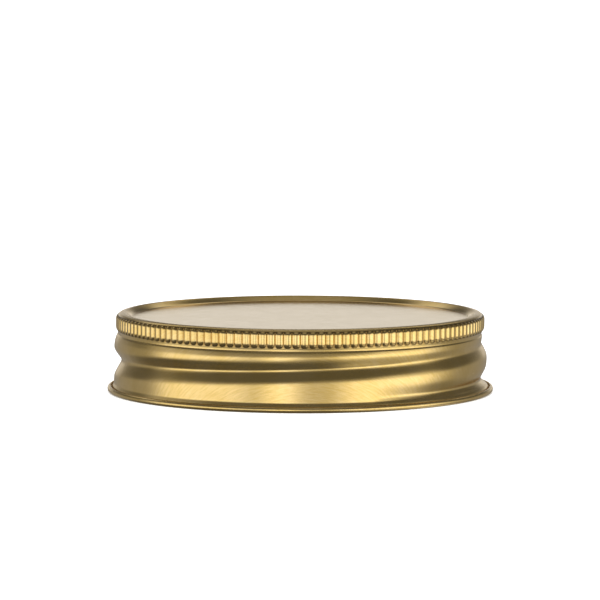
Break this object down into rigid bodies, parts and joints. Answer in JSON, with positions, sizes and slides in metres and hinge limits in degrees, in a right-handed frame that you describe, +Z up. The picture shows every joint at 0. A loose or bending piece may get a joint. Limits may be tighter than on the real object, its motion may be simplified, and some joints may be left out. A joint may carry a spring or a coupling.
{
  "type": "screw jar lid",
  "caption": "Round screw lid for a jar mouth, pressed from gold lacquered sheet, with a knurled rim, a rolled thread, a curled edge and a sealing ring inside.",
  "frame": {"origin": "middle of the circle on which the curled edge stands", "axes": "+Z up along the lid's axis, away from the jar; -Y is the side that faces the viewer"},
  "size_m": [0.0742, 0.0742, 0.0152],
  "materials": {
    "gold_lacquered_tinplate": "satin gold lacquer over rolled tinplate",
    "sealing_compound": "smooth soft compound, slightly glossy"
  },
  "bodies": {
    "root": {"lid_shell": "gold_lacquered_tinplate", "sealing_ring": "sealing_compound"}
  },
  "joints": []
}
